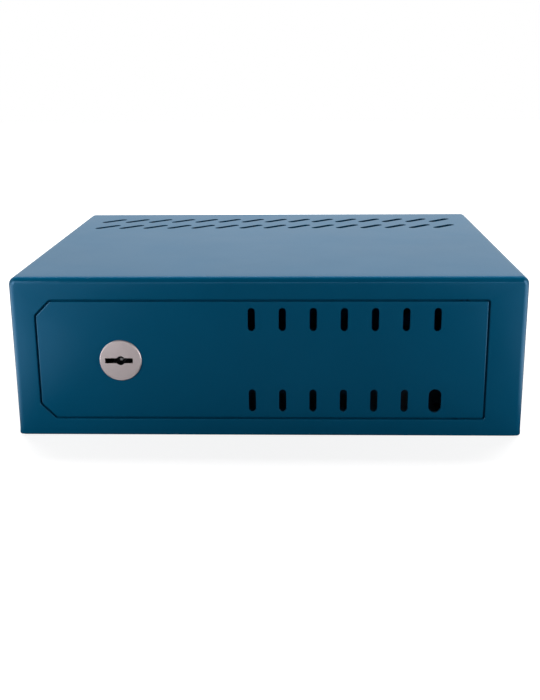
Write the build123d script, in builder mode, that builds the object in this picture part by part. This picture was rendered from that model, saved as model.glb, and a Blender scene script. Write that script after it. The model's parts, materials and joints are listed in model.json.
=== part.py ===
from build123d import *
import os
from math import cos, radians, sin

# Ventilated steel lock box for a video recorder, with a flush door and a double-bit lever lock.
# Millimetres, +Z up. Seen from the front, +X is to the right and +Y to the rear.
# The origin is the centre of the base, on the surface that the box stands on.

# Cabinet: a folded shell with a front frame and a back panel welded into its ends.
cabinet_width = 420.0
cabinet_depth = 335.0
cabinet_height = 135.0
corner_radius = 6.5
shell_sheet = 2.0
shell_return = 25.0
base_sheet = 2.0
base_edge_gap = 5.0
front_sheet = 2.5
front_edge_radius = 5.0
front_flange = 15.0
back_sheet = 2.0
back_flange = 14.0

# Door opening in the front frame, by the margins left around it.
margin_latch_side = 19.9
margin_hinge_side = 30.6
margin_bottom = 14.4
margin_top = 18.4
latch_corner_cut = 13.0
latch_corner_round = 4.0
hinge_corner_round = 2.5
door_gap = 1.5
edge_break = 0.8

# Slots in the door, and the slanted slots in the roof.
door_slot_width = 6.0
door_slot_height = 19.5
door_slot_pitch = 25.1
door_slot_count = 7
door_slots_from_edge = 5.25
door_slots_from_hinge_edge = 40.1
wide_slot_width = 10.5
wide_slot_height = 20.5
roof_slot_width = 5.5
roof_slot_length = 28.5
roof_slot_pitch = 24.9
roof_slot_angle = 45.0
roof_slot_rows_apart = 39.0
roof_slots_from_back = 63.5
roof_slots_from_side = 35.0

# Fixing holes and cable entries.
anchor_hole_radius = 4.5
base_anchors_from_side = 60.0
base_anchors_from_end = 67.5
back_anchors_from_side = 60.0
back_anchors_from_top = 37.0
cable_hole_radius = 20.0
cable_holes_from_side = 75.0
cable_hole_height = 42.0
grommet_bore_radius = 15.0
grommet_lip_radius = 24.0
grommet_lip = 2.0
grommet_lip_bevel = 0.8

# Hinge: barrels welded to the door turn on pins in two tabs of the frame.
hinge_inset = 19.0
hinge_stand_off = 0.5
hinge_barrel_radius = 5.0
hinge_barrel_length = 16.0
hinge_pin_radius = 3.0
hinge_pin_past_tab = 1.0
hinge_pin_head_radius = 4.5
hinge_pin_head = 2.0
hinge_play = 0.05
hinge_tab = 3.0
hinge_tab_half_width = 8.0
hinge_tab_from_opening = 1.0
hinge_washer = 2.5
grub_radius = 1.5
grub_recess = 0.3
grub_socket_radius = 0.9
grub_socket_depth = 1.0

# Strips that the closed door rests on, and the bar that the bolts lock behind.
stop_sheet = 2.0
stop_overlap = 5.0
stop_weld_width = 8.0
stop_clear_of_hinge = 14.0
stop_clear_of_corner = 4.0
keeper_width = 14.0
keeper_height = 72.0
keeper_play = 0.7
keeper_from_opening = 1.0

# Key and rosette. The key's longer bit points to the latch side when it goes in.
key_axis_from_latch_edge = 67.8
key_bit_long = 12.8
key_bit_short = 10.1
key_bit_height = 4.4
key_stem_radius = 3.8
key_play = 0.6
key_turn = 90.0
key_pin_radius = 1.5
key_pin_behind_door = 0.5
rosette_radius = 17.3
rosette_proud = 1.2
rosette_bevel = 0.6
rosette_spigot_radius = 14.5
rosette_play = 0.05

# Lock case, measured from the key axis. Depths are behind the door's rear face.
case_toward_latch = 64.5
case_toward_hinge = 37.0
case_half_height = 30.0
case_front_sheet = 2.0
case_wall = 1.5
case_room_behind = 0.6
cover_sheet = 1.5
ear_width = 16.0
ear_reach = 12.0
ear_round = 4.0
ear_toward_latch = 52.0
ear_toward_hinge = 24.0
stud_radius = 2.5
stud_length = 8.0
stud_play = 0.25
nut_across_flats = 8.0
nut_height = 4.0
post_radius = 2.5
rivet_radius = 1.5
guide_post_toward_latch = 20.0
corner_post_from_wall = 2.0
screw_radius = 1.5
screw_depth = 6.0
screw_head_radius = 2.8
screw_head = 1.8
screw_head_bevel = 0.5
screw_slot_width = 0.8
screw_slot_depth = 0.9
screw_slot_angle = 30.0

# Levers and the comb of leaf springs that presses them down.
lever_count = 6
lever_sheet = 1.2
lever_gap = 0.3
lever_swing = 3.4
lever_pivot_from_key = 27.0
lever_pivot_radius = 2.5
lever_spacer_radius = 4.5
lever_eye_radius = 7.0
lever_neck_half_height = 6.0
lever_web = 3.0
lever_body_round = 6.0
lever_window_round = 7.0
lever_play = 0.15
belly_cut_width = 5.2
belly_cuts = (0.0, 0.6, 0.2, 0.8, 0.4, 0.1)
gate_land = 3.0
pocket_above = 3.0
pocket_room = 1.0
spring_leaf = 0.4
spring_block_length = 9.0
spring_block_height = 10.0
spring_block_toward_hinge = 14.0
spring_tip_toward_latch = 4.0
spring_bow = 1.6

# Rotor that the key turns, with a crank pin that drives the bolts.
rotor_radius = 7.5
rotor_play = 0.05
rotor_front_gap = 0.2
rotor_flange_radius = 11.5
rotor_flange = 1.6
crank_radius = 8.5
crank_pin_radius = 2.0
crank_play = 0.35

# Bolts and the carriage that joins them.
bolt_radius = 6.0
bolt_play = 0.2
bolt_depth = 9.2
bolt_from_axis = 19.0
bolt_proud = 1.0
bolt_length = 29.5
bolt_tip_bevel = 1.0
carriage_gap = 0.3
carriage_sheet = 2.8
carriage_from_wall = 2.5
carriage_toward_latch = 50.0
carriage_web = 4.0
guide_play = 0.2
guide_web = 2.8
stump_size = 3.0
stump_toward_latch = 29.0

# Places that follow from the sizes above.
front_y = -cabinet_depth / 2
back_y = cabinet_depth / 2
shell_front_y = front_y + front_flange
door_back_y = front_y + front_sheet
opening_left = -cabinet_width / 2 + margin_latch_side
opening_right = cabinet_width / 2 - margin_hinge_side
opening_bottom = margin_bottom
opening_top = cabinet_height - margin_top
door_left = opening_left + door_gap
door_right = opening_right - door_gap
hinge_x = door_right - hinge_inset
hinge_y = door_back_y + hinge_stand_off + hinge_barrel_radius
key_x = door_left + key_axis_from_latch_edge
key_z = (opening_bottom + opening_top) / 2
door_height = opening_top - opening_bottom - 2 * door_gap
door_slot_rows_apart = door_height - 2 * door_slots_from_edge - door_slot_height
base_anchors_across = cabinet_width - 2 * base_anchors_from_side
base_anchors_along = cabinet_depth - 2 * base_anchors_from_end
back_anchors_across = cabinet_width - 2 * back_anchors_from_side
back_anchor_height = cabinet_height - back_anchors_from_top
cable_holes_across = cabinet_width - 2 * cable_holes_from_side

# Depths in the lock: levers, rotor flange and carriage lie one behind the other.
levers_start = case_front_sheet + lever_gap
levers_end = levers_start + lever_count * (lever_sheet + lever_gap)
flange_end = levers_end + rotor_flange
carriage_start = flange_end + carriage_gap
carriage_end = carriage_start + carriage_sheet
case_depth = carriage_end + case_room_behind
cover_back = case_depth + cover_sheet

# Motion of the lock: the crank pin swings from one side of the key axis to the other.
half_turn = radians(key_turn / 2)
crank_side = crank_radius * sin(half_turn)
crank_drop = crank_radius * cos(half_turn)
bolt_throw = 2 * crank_side
lift_at_key = lever_pivot_from_key * sin(radians(lever_swing))
case_centre = (case_toward_hinge - case_toward_latch) / 2
case_length = case_toward_hinge + case_toward_latch
case_inner_top = case_half_height - case_wall
carriage_half_height = case_inner_top - carriage_from_wall
guide_post_from_axis = carriage_half_height - guide_web - guide_play - post_radius
corner_post_from_axis = case_inner_top - corner_post_from_wall - post_radius
corner_post_toward_hinge = case_toward_hinge - case_wall - corner_post_from_wall - post_radius


def facing_front(y):
    """Plane across the box at depth y, seen from the front: local x is +X, local y is +Z."""
    return Plane.XZ.offset(-y)


def lock_plane(depth):
    """The same, centred on the key axis, at a depth behind the door's rear face."""
    return Plane(origin=(key_x, door_back_y + depth, key_z), x_dir=(1, 0, 0), z_dir=(0, -1, 0))


def save(part, name):
    part.label = name
    export_step(part, f"parts/{name}.step")


def door_outline(gap):
    """Outline of the door opening, drawn in by a gap: two corners cut, two rounded."""
    with BuildSketch() as outline:
        with Locations(((opening_left + opening_right) / 2, key_z)):
            Rectangle(opening_right - opening_left, opening_top - opening_bottom)
        latch_corners = outline.vertices().group_by(Axis.X)[0]
        hinge_corners = outline.vertices().group_by(Axis.X)[-1]
        chamfer(latch_corners, latch_corner_cut)
        fillet(hinge_corners, hinge_corner_round)
        cut_ends = outline.vertices().filter_by(
            lambda v: v.X < opening_left + latch_corner_cut + hinge_corner_round
        )
        fillet(cut_ends, latch_corner_round)
        if gap > 0:
            offset(amount=-gap, kind=Kind.INTERSECTION)
    return outline.sketch


def key_outline(stem_radius, play=0.0):
    """The key seen from the front: a round stem with a bit on each side."""
    with BuildSketch() as outline:
        Circle(stem_radius)
        with Locations(((key_bit_short - key_bit_long) / 2, 0)):
            Rectangle(key_bit_long + key_bit_short + 2 * play, key_bit_height + 2 * play)
    return outline.sketch


def stump_drop(share):
    """How far the stump lies below a lever's centre line after a share of the key's turn."""
    reach = lever_pivot_from_key + stump_toward_latch + share * bolt_throw
    return reach * sin(radians(share * lever_swing))


os.makedirs("parts", exist_ok=True)

# Shell: roof, sides and two narrow returns under them, folded from one sheet.
with BuildPart() as shell:
    with BuildSketch(facing_front(back_y)):
        with Locations((0, cabinet_height / 2)):
            RectangleRounded(cabinet_width, cabinet_height, corner_radius)
            RectangleRounded(
                cabinet_width - 2 * shell_sheet,
                cabinet_height - 2 * shell_sheet,
                corner_radius - shell_sheet,
                mode=Mode.SUBTRACT,
            )
        with Locations((0, shell_sheet / 2)):
            Rectangle(cabinet_width - 2 * shell_return, shell_sheet, mode=Mode.SUBTRACT)
    extrude(amount=back_y - shell_front_y)
    slots_span = cabinet_width - 2 * roof_slots_from_side
    roof_slot_count = 1 + int(slots_span / roof_slot_pitch)
    with BuildSketch(Plane.XY.offset(cabinet_height)):
        with Locations((0, back_y - roof_slots_from_back)):
            with GridLocations(roof_slot_pitch, roof_slot_rows_apart, roof_slot_count, 2):
                SlotOverall(roof_slot_length, roof_slot_width, rotation=roof_slot_angle)
    extrude(amount=-shell_sheet, mode=Mode.SUBTRACT)
save(shell.part, "cabinet_shell")

# Base plate: lies on the shell's returns, with four holes to bolt the box down.
base_front_y = shell_front_y
base_back_y = back_y - back_flange
with BuildPart() as base_plate:
    with BuildSketch(Plane.XY.offset(shell_sheet)):
        with Locations((0, (base_front_y + base_back_y) / 2)):
            Rectangle(
                cabinet_width - 2 * (shell_sheet + base_edge_gap), base_back_y - base_front_y
            )
        with GridLocations(base_anchors_across, base_anchors_along, 2, 2):
            Circle(anchor_hole_radius, mode=Mode.SUBTRACT)
    extrude(amount=base_sheet)
save(base_plate.part, "base_plate")

# Front frame: a shallow tray with rolled edges, which the door opening is cut out of.
with BuildPart() as front_frame:
    with BuildSketch(facing_front(shell_front_y)):
        with Locations((0, cabinet_height / 2)):
            RectangleRounded(cabinet_width, cabinet_height, corner_radius)
    extrude(amount=front_flange)
    fillet(front_frame.faces().sort_by(Axis.Y)[0].edges(), front_edge_radius)
    offset(amount=-front_sheet, openings=front_frame.faces().sort_by(Axis.Y)[-1])
    with BuildSketch(facing_front(door_back_y)):
        add(door_outline(0))
    extrude(amount=front_sheet, mode=Mode.SUBTRACT)
    fillet(front_frame.faces().sort_by(Axis.Y)[0].inner_wires()[0].edges(), edge_break)
save(front_frame.part, "front_frame")

# Back panel: a tray that closes the rear end, with two cable holes and two fixing holes.
with BuildPart() as back_panel:
    with BuildSketch(facing_front(back_y)):
        with Locations((0, cabinet_height / 2)):
            RectangleRounded(
                cabinet_width - 2 * shell_sheet,
                cabinet_height - 2 * shell_sheet,
                corner_radius - shell_sheet,
            )
    extrude(amount=back_flange)
    offset(amount=-back_sheet, openings=back_panel.faces().sort_by(Axis.Y)[0])
    with BuildSketch(facing_front(back_y)):
        with Locations((0, cable_hole_height)):
            with GridLocations(cable_holes_across, 1, 2, 1):
                Circle(cable_hole_radius)
        with Locations((0, back_anchor_height)):
            with GridLocations(back_anchors_across, 1, 2, 1):
                Circle(anchor_hole_radius)
    extrude(amount=back_sheet, mode=Mode.SUBTRACT)
save(back_panel.part, "back_panel")

# Grommets: rubber rings whose groove grips the edge of each cable hole.
for side, name in ((-1, "cable_grommet_left"), (1, "cable_grommet_right")):
    grommet_x = side * cable_holes_across / 2
    groove_start = back_y - back_sheet
    with BuildPart() as grommet:
        with BuildSketch(Plane.XY.offset(cable_hole_height)):
            for start, end, outer in (
                (groove_start - grommet_lip, groove_start, grommet_lip_radius),
                (groove_start, back_y, cable_hole_radius),
                (back_y, back_y + grommet_lip, grommet_lip_radius),
            ):
                with Locations((grommet_x + grommet_bore_radius, start)):
                    Rectangle(
                        outer - grommet_bore_radius, end - start, align=(Align.MIN, Align.MIN)
                    )
        revolve(axis=Axis((grommet_x, 0, cable_hole_height), (0, 1, 0)))
        end_rings = grommet.edges().filter_by(GeomType.CIRCLE)
        chamfer(end_rings.group_by(Axis.Y)[0] + end_rings.group_by(Axis.Y)[-1], grommet_lip_bevel)
    save(grommet.part, name)

# Hinge tab, washer, barrel and pin, above and below the door.
# "near" is the edge of the opening, and "away" points from the door to the tab.
for name, near, away in (("upper", opening_top, 1), ("lower", opening_bottom, -1)):
    tab_near = near + away * hinge_tab_from_opening
    tab_far = tab_near + away * hinge_tab
    washer_near = tab_near - away * hinge_washer
    barrel_far = washer_near - away * hinge_play
    barrel_near = barrel_far - away * hinge_barrel_length
    pin_tip = tab_far + away * hinge_pin_past_tab

    with BuildPart() as tab:
        with BuildSketch(Plane.XY.offset(min(tab_near, tab_far))) as tab_outline:
            with Locations((hinge_x, door_back_y)):
                Rectangle(
                    2 * hinge_tab_half_width,
                    hinge_y - door_back_y + hinge_tab_half_width,
                    align=(Align.CENTER, Align.MIN),
                )
            fillet(tab_outline.vertices().group_by(Axis.Y)[-1], hinge_tab_half_width / 2)
            with Locations((hinge_x, hinge_y)):
                Circle(hinge_pin_radius + hinge_play, mode=Mode.SUBTRACT)
        extrude(amount=hinge_tab)
    save(tab.part, f"hinge_tab_{name}")

    with BuildPart() as washer:
        with BuildSketch(Plane.XY.offset(min(tab_near, washer_near))):
            with Locations((hinge_x, hinge_y)):
                Circle(hinge_barrel_radius)
                Circle(hinge_pin_radius + hinge_play, mode=Mode.SUBTRACT)
        extrude(amount=hinge_washer)
    save(washer.part, f"hinge_washer_{name}")

    grub_z = (barrel_near + barrel_far) / 2
    with BuildPart() as barrel:
        with BuildSketch(Plane.XY.offset(min(barrel_near, barrel_far))):
            with Locations((hinge_x, door_back_y)):
                Rectangle(
                    2 * hinge_barrel_radius,
                    hinge_y - door_back_y,
                    align=(Align.CENTER, Align.MIN),
                )
            with Locations((hinge_x, hinge_y)):
                Circle(hinge_barrel_radius)
                Circle(hinge_pin_radius, mode=Mode.SUBTRACT)
        extrude(amount=hinge_barrel_length)
        if name == "upper":
            with BuildSketch(facing_front(hinge_y + hinge_barrel_radius)):
                with Locations((hinge_x, grub_z)):
                    Circle(grub_radius)
            extrude(amount=hinge_barrel_radius, mode=Mode.SUBTRACT)
    save(barrel.part, f"hinge_barrel_{name}")

    with BuildPart() as pin:
        with BuildSketch(Plane.XY.offset(min(pin_tip, barrel_near))):
            with Locations((hinge_x, hinge_y)):
                Circle(hinge_pin_radius)
        extrude(amount=abs(pin_tip - barrel_near))
        if name == "upper":
            with BuildSketch(Plane.XY.offset(barrel_near - hinge_pin_head)):
                with Locations((hinge_x, hinge_y)):
                    Circle(hinge_pin_head_radius)
            extrude(amount=hinge_pin_head)
    save(pin.part, f"hinge_pin_{name}")

    # Grub screw that holds the upper pin, so that the door lifts off once it is let down.
    if name == "upper":
        with BuildPart() as grub:
            grub_length = hinge_barrel_radius - grub_recess
            with BuildSketch(facing_front(hinge_y + grub_length)):
                with Locations((hinge_x, grub_z)):
                    Circle(grub_radius)
            extrude(amount=grub_length)
            with BuildSketch(facing_front(hinge_y + grub_length)):
                with Locations((hinge_x, grub_z)):
                    RegularPolygon(grub_socket_radius, 6)
            extrude(amount=grub_socket_depth, mode=Mode.SUBTRACT)
            with Locations((hinge_x, hinge_y, grub_z)):
                Cylinder(hinge_pin_radius, hinge_barrel_length, mode=Mode.SUBTRACT)
        save(grub.part, "hinge_grub_screw")

# Stop strips behind the upper and the lower edge of the door.
stop_left = opening_left + latch_corner_cut + stop_clear_of_corner
stop_right = hinge_x - stop_clear_of_hinge
for name, edge, into in (("upper", opening_top, -1), ("lower", opening_bottom, 1)):
    with BuildPart() as stop:
        stop_centre_z = edge + into * (stop_overlap - stop_weld_width) / 2
        with BuildSketch(facing_front(door_back_y + stop_sheet)):
            with Locations(((stop_left + stop_right) / 2, stop_centre_z)):
                Rectangle(stop_right - stop_left, stop_overlap + stop_weld_width)
        extrude(amount=stop_sheet)
    save(stop.part, f"door_stop_{name}")

# Keeper: a bar behind the latch side of the frame, which the bolts slide in behind.
keeper_sheet = bolt_depth - bolt_radius - keeper_play
with BuildPart() as keeper:
    with BuildSketch(facing_front(door_back_y + keeper_sheet)):
        with Locations((opening_left - keeper_from_opening - keeper_width / 2, key_z)):
            Rectangle(keeper_width, keeper_height)
    extrude(amount=keeper_sheet)
save(keeper.part, "bolt_keeper")

# Door: a flush plate with two rows of upright slots, the last one below a wide one.
last_slot_x = door_right - door_slots_from_hinge_edge
slots_span = (door_slot_count - 1) * door_slot_pitch
with BuildPart() as door:
    with BuildSketch(facing_front(door_back_y)):
        add(door_outline(door_gap))
    extrude(amount=front_sheet)
    fillet(door.faces().sort_by(Axis.Y)[0].edges(), edge_break)
    with BuildSketch(facing_front(door_back_y)):
        with Locations((last_slot_x - slots_span / 2, key_z + door_slot_rows_apart / 2)):
            with GridLocations(door_slot_pitch, 1, door_slot_count, 1):
                SlotOverall(door_slot_height, door_slot_width, rotation=90)
        lower_row_x = last_slot_x - (slots_span + door_slot_pitch) / 2
        with Locations((lower_row_x, key_z - door_slot_rows_apart / 2)):
            with GridLocations(door_slot_pitch, 1, door_slot_count - 1, 1):
                SlotOverall(door_slot_height, door_slot_width, rotation=90)
        with Locations((last_slot_x, key_z - door_slot_rows_apart / 2)):
            SlotOverall(wide_slot_height, wide_slot_width, rotation=90)
        with Locations((key_x, key_z)):
            Circle(rosette_spigot_radius + rosette_play)
    extrude(amount=front_sheet, mode=Mode.SUBTRACT)
save(door.part, "door_panel")

# Rosette: a satin disc with a bevelled rim, whose spigot fills the hole in the door.
with BuildPart() as rosette:
    with BuildSketch(lock_plane(0)):
        Circle(rosette_spigot_radius)
    extrude(amount=front_sheet)
    with BuildSketch(lock_plane(-front_sheet)):
        Circle(rosette_radius)
    extrude(amount=rosette_proud)
    chamfer(rosette.faces().sort_by(Axis.Y)[0].edges(), rosette_bevel)
    with BuildSketch(lock_plane(0)):
        add(key_outline(key_stem_radius))
    extrude(amount=front_sheet + rosette_proud, mode=Mode.SUBTRACT)
save(rosette.part, "lock_rosette")

# Where the lock's studs and posts stand, as distances right of and above the key axis.
stud_from_axis = case_half_height + ear_reach / 2
stud_places = []
for u in (-ear_toward_latch, ear_toward_hinge):
    stud_places += [(u, stud_from_axis), (u, -stud_from_axis)]
guide_places = [(-guide_post_toward_latch, v * guide_post_from_axis) for v in (1, -1)]
corner_places = [(corner_post_toward_hinge, v * corner_post_from_axis) for v in (1, -1)]
post_places = guide_places + corner_places
pivot_place = (lever_pivot_from_key, 0)

# Lock case: a tray on two ear straps, with a keyhole and two bolt holes in its end wall.
with BuildPart() as case:
    with BuildSketch(lock_plane(case_front_sheet)):
        for u in (-ear_toward_latch, ear_toward_hinge):
            with Locations((u, 0)):
                RectangleRounded(ear_width, 2 * (case_half_height + ear_reach), ear_round)
    extrude(amount=case_front_sheet)
    with BuildSketch(lock_plane(case_depth)):
        with Locations((case_centre, 0)):
            Rectangle(case_length, 2 * case_half_height)
    extrude(amount=case_depth)
    with BuildSketch(lock_plane(case_depth)):
        with Locations((case_centre, 0)):
            Rectangle(case_length - 2 * case_wall, 2 * case_inner_top)
    extrude(amount=case_depth - case_front_sheet, mode=Mode.SUBTRACT)
    with BuildSketch(lock_plane(case_front_sheet)):
        add(key_outline(rotor_radius + rotor_play, play=key_play))
        with Locations(*post_places, pivot_place):
            Circle(rivet_radius)
        with Locations(*stud_places):
            Circle(stud_radius + stud_play)
    extrude(amount=case_front_sheet, mode=Mode.SUBTRACT)
    with BuildSketch(Plane.YZ.offset(key_x - case_toward_latch)):
        with Locations((door_back_y + bolt_depth, key_z)):
            with GridLocations(1, 2 * bolt_from_axis, 1, 2):
                Circle(bolt_radius + bolt_play)
    extrude(amount=case_wall, mode=Mode.SUBTRACT)
save(case.part, "lock_case")

# Studs on the door's rear face, and the nuts that clamp the case's ears to it.
with BuildPart() as studs:
    with BuildSketch(lock_plane(stud_length)):
        with Locations(*stud_places):
            Circle(stud_radius)
    extrude(amount=stud_length)
save(studs.part, "lock_studs")

with BuildPart() as nuts:
    with BuildSketch(lock_plane(case_front_sheet + nut_height)):
        with Locations(*stud_places):
            RegularPolygon(nut_across_flats / 2, 6, major_radius=False)
            Circle(stud_radius, mode=Mode.SUBTRACT)
    extrude(amount=nut_height)
save(nuts.part, "lock_nuts")

# Posts riveted into the case: two guide the carriage, and all four carry the cover.
with BuildPart() as posts:
    with BuildSketch(lock_plane(case_depth)):
        with Locations(*post_places):
            Circle(post_radius)
    extrude(amount=case_depth - case_front_sheet)
    with BuildSketch(lock_plane(case_front_sheet)):
        with Locations(*post_places):
            Circle(rivet_radius)
    extrude(amount=case_front_sheet)
    with BuildSketch(lock_plane(case_depth)):
        with Locations(*post_places):
            Circle(screw_radius)
    extrude(amount=screw_depth, mode=Mode.SUBTRACT)
save(posts.part, "lock_posts")

with BuildPart() as cover:
    with BuildSketch(lock_plane(cover_back)):
        with Locations((case_centre, 0)):
            RectangleRounded(case_length, 2 * case_half_height, case_wall)
        with Locations(*post_places):
            Circle(screw_radius, mode=Mode.SUBTRACT)
        Circle(key_pin_radius, mode=Mode.SUBTRACT)
    extrude(amount=cover_sheet)
save(cover.part, "lock_cover")

with BuildPart() as cover_screws:
    with BuildSketch(lock_plane(cover_back)):
        with Locations(*post_places):
            Circle(screw_radius)
    extrude(amount=cover_sheet + screw_depth)
    with BuildSketch(lock_plane(cover_back + screw_head)):
        with Locations(*post_places):
            Circle(screw_head_radius)
    extrude(amount=screw_head)
    chamfer(cover_screws.faces().group_by(Axis.Y)[-1].edges(), screw_head_bevel)
    with BuildSketch(lock_plane(cover_back + screw_head)):
        with Locations(*post_places):
            Rectangle(2 * screw_head_radius, screw_slot_width, rotation=screw_slot_angle)
    extrude(amount=screw_slot_depth, mode=Mode.SUBTRACT)
save(cover_screws.part, "lock_cover_screws")

# Key pin: the spigot that a hollow key slides over, riveted into the cover.
with BuildPart() as key_pin:
    with BuildSketch(lock_plane(cover_back)):
        Circle(key_pin_radius)
    extrude(amount=cover_back - key_pin_behind_door)
    chamfer(key_pin.faces().sort_by(Axis.Y)[0].edges(), key_pin_radius / 3)
save(key_pin.part, "key_pin")

# Lever pivot, and the spacer that holds the levers forward on it.
with BuildPart() as lever_pivot:
    with BuildSketch(lock_plane(case_depth)):
        with Locations(pivot_place):
            Circle(lever_pivot_radius)
    extrude(amount=case_depth - case_front_sheet)
    with BuildSketch(lock_plane(case_front_sheet)):
        with Locations(pivot_place):
            Circle(rivet_radius)
    extrude(amount=case_front_sheet)
save(lever_pivot.part, "lever_pivot")

with BuildPart() as lever_spacer:
    with BuildSketch(lock_plane(case_depth)):
        with Locations(pivot_place):
            Circle(lever_spacer_radius)
            Circle(lever_pivot_radius, mode=Mode.SUBTRACT)
    extrude(amount=case_depth - levers_end)
save(lever_spacer.part, "lever_spacer")

# Rotor: a slotted barrel for the key, a flange, and the crank pin on the flange.
with BuildPart() as rotor:
    with BuildSketch(lock_plane(levers_end)):
        Circle(rotor_radius)
        add(key_outline(key_stem_radius), mode=Mode.SUBTRACT)
    extrude(amount=levers_end - rotor_front_gap)
    with BuildSketch(lock_plane(flange_end)):
        Circle(rotor_flange_radius)
        Circle(key_pin_radius + rotor_play, mode=Mode.SUBTRACT)
    extrude(amount=rotor_flange)
    with BuildSketch(lock_plane(carriage_end)):
        with Locations((crank_side, -crank_drop)):
            Circle(crank_pin_radius)
    extrude(amount=carriage_end - flange_end)
save(rotor.part, "key_rotor")

# Bolt carriage: guided on two posts and the key pin, driven by the crank in an upright slot.
carriage_toward_hinge = bolt_throw + key_pin_radius + guide_play + carriage_web
slot_travel = bolt_throw + 2 * guide_play
with BuildPart() as carriage:
    with BuildSketch(lock_plane(carriage_end)) as carriage_outline:
        with Locations(((carriage_toward_hinge - carriage_toward_latch) / 2, 0)):
            Rectangle(carriage_toward_latch + carriage_toward_hinge, 2 * carriage_half_height)
        chamfer(carriage_outline.vertices().group_by(Axis.X)[-1], carriage_web)
        for u, v in guide_places:
            with Locations((u + bolt_throw / 2, v)):
                SlotCenterToCenter(
                    slot_travel, 2 * (post_radius + guide_play), mode=Mode.SUBTRACT
                )
        with Locations((bolt_throw / 2, 0)):
            SlotCenterToCenter(
                slot_travel, 2 * (key_pin_radius + guide_play), mode=Mode.SUBTRACT
            )
        with Locations((crank_side, -(crank_drop + crank_radius) / 2)):
            SlotCenterToCenter(
                crank_radius - crank_drop + 2 * guide_play,
                2 * (crank_pin_radius + crank_play),
                rotation=90,
                mode=Mode.SUBTRACT,
            )
    extrude(amount=carriage_sheet)
save(carriage.part, "bolt_carriage")

# Stump: the lug on the carriage that has to pass the gates of all the levers.
with BuildPart() as stump:
    with BuildSketch(lock_plane(carriage_start)):
        with Locations((-stump_toward_latch, 0)):
            Rectangle(stump_size, stump_size)
    extrude(amount=carriage_start - levers_start)
save(stump.part, "bolt_stump")

# Bolts: round bars with a flat on the tail, riveted to the front of the carriage.
bolt_tip_x = key_x - case_toward_latch - bolt_proud
bolt_axis_y = door_back_y + bolt_depth
for name, side in (("upper", 1), ("lower", -1)):
    bolt_z = key_z + side * bolt_from_axis
    with BuildPart() as bolt:
        with BuildSketch(Plane.YZ.offset(bolt_tip_x)):
            with Locations((bolt_axis_y, bolt_z)):
                Circle(bolt_radius)
        extrude(amount=bolt_length)
        chamfer(bolt.faces().sort_by(Axis.X)[0].edges(), bolt_tip_bevel)
        with BuildSketch(facing_front(bolt_axis_y + bolt_radius)):
            with Locations((key_x - carriage_toward_latch, bolt_z)):
                Rectangle(bolt_length, 2 * bolt_radius, align=(Align.MIN, Align.CENTER))
        extrude(amount=bolt_depth + bolt_radius - carriage_start, mode=Mode.SUBTRACT)
    save(bolt.part, f"lock_bolt_{name}")

# Levers: each has an eye, a window for the key, and two pockets joined by a gate.
window_half_width = key_bit_long + key_play
window_top = key_bit_long - lift_at_key
window_bottom = key_bit_short + lift_at_key + key_play
gate_near = stump_toward_latch + (bolt_throw - gate_land) / 2
gate_far = gate_near + gate_land
gate_entry_share = (bolt_throw - gate_land - stump_size) / 2 / bolt_throw
gate_above = stump_size / 2 - stump_drop(gate_entry_share) + lever_play
gate_below = stump_size / 2 + stump_drop(1 - gate_entry_share) + lever_play
pocket_below = stump_size / 2 + stump_drop(1) + pocket_room
pockets_start = stump_toward_latch - stump_size
pockets_end = stump_toward_latch + bolt_throw + stump_size
arm_reach = pockets_end + lever_web
for index in range(lever_count):
    lever_back = levers_start + index * (lever_sheet + lever_gap) + lever_sheet
    with BuildPart() as lever:
        with BuildSketch(lock_plane(lever_back)) as lever_outline:
            with Locations((-arm_reach / 2, (pocket_above - pocket_below) / 2)):
                Rectangle(arm_reach, pocket_above + pocket_below + 2 * lever_web)
            fillet(lever_outline.vertices().group_by(Axis.X)[0], lever_web)
            with Locations((0, (window_top - window_bottom) / 2)):
                RectangleRounded(
                    2 * (window_half_width + lever_web),
                    window_top + window_bottom + 2 * lever_web,
                    lever_body_round,
                )
            with Locations((lever_pivot_from_key / 2, 0)):
                Rectangle(lever_pivot_from_key, 2 * lever_neck_half_height)
            with Locations(pivot_place):
                Circle(lever_eye_radius)
                Circle(lever_pivot_radius + rotor_play, mode=Mode.SUBTRACT)
            with Locations((0, (window_top - window_bottom) / 2)):
                RectangleRounded(
                    2 * window_half_width,
                    window_top + window_bottom,
                    lever_window_round,
                    mode=Mode.SUBTRACT,
                )
            if belly_cuts[index] > 0:
                with Locations((0, window_top)):
                    Rectangle(belly_cut_width, 2 * belly_cuts[index], mode=Mode.SUBTRACT)
            for near, far, above, below in (
                (pockets_start, gate_near, pocket_above, pocket_below),
                (gate_near, gate_far, gate_above, gate_below),
                (gate_far, pockets_end, pocket_above, pocket_below),
            ):
                with Locations((-(near + far) / 2, (above - below) / 2)):
                    Rectangle(far - near, above + below, mode=Mode.SUBTRACT)
        extrude(amount=lever_sheet)
    save(lever.part, f"lever_{index + 1}")

# Spring comb: a block under the roof of the case, with one thin leaf for each lever.
block_u = spring_block_toward_hinge + spring_block_length / 2
leaf_root = (spring_block_toward_hinge, case_inner_top - spring_block_height / 2)
leaf_tip = (-spring_tip_toward_latch, window_top + lever_web)
with BuildPart() as springs:
    with BuildSketch(lock_plane(levers_end - lever_gap)):
        with Locations((block_u, case_inner_top - spring_block_height / 2)):
            Rectangle(spring_block_length, spring_block_height)
    extrude(amount=levers_end - lever_gap - case_front_sheet)
    for index in range(lever_count):
        leaf_back = levers_start + index * (lever_sheet + lever_gap) + lever_sheet
        with BuildSketch(lock_plane(leaf_back)):
            with BuildLine():
                root_above = (leaf_root[0], leaf_root[1] + spring_leaf)
                tip_above = (leaf_tip[0], leaf_tip[1] + spring_leaf)
                SagittaArc(leaf_root, leaf_tip, spring_bow)
                Line(leaf_tip, tip_above)
                SagittaArc(tip_above, root_above, -spring_bow)
                Line(root_above, leaf_root)
            make_face()
        extrude(amount=lever_sheet)
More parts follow.
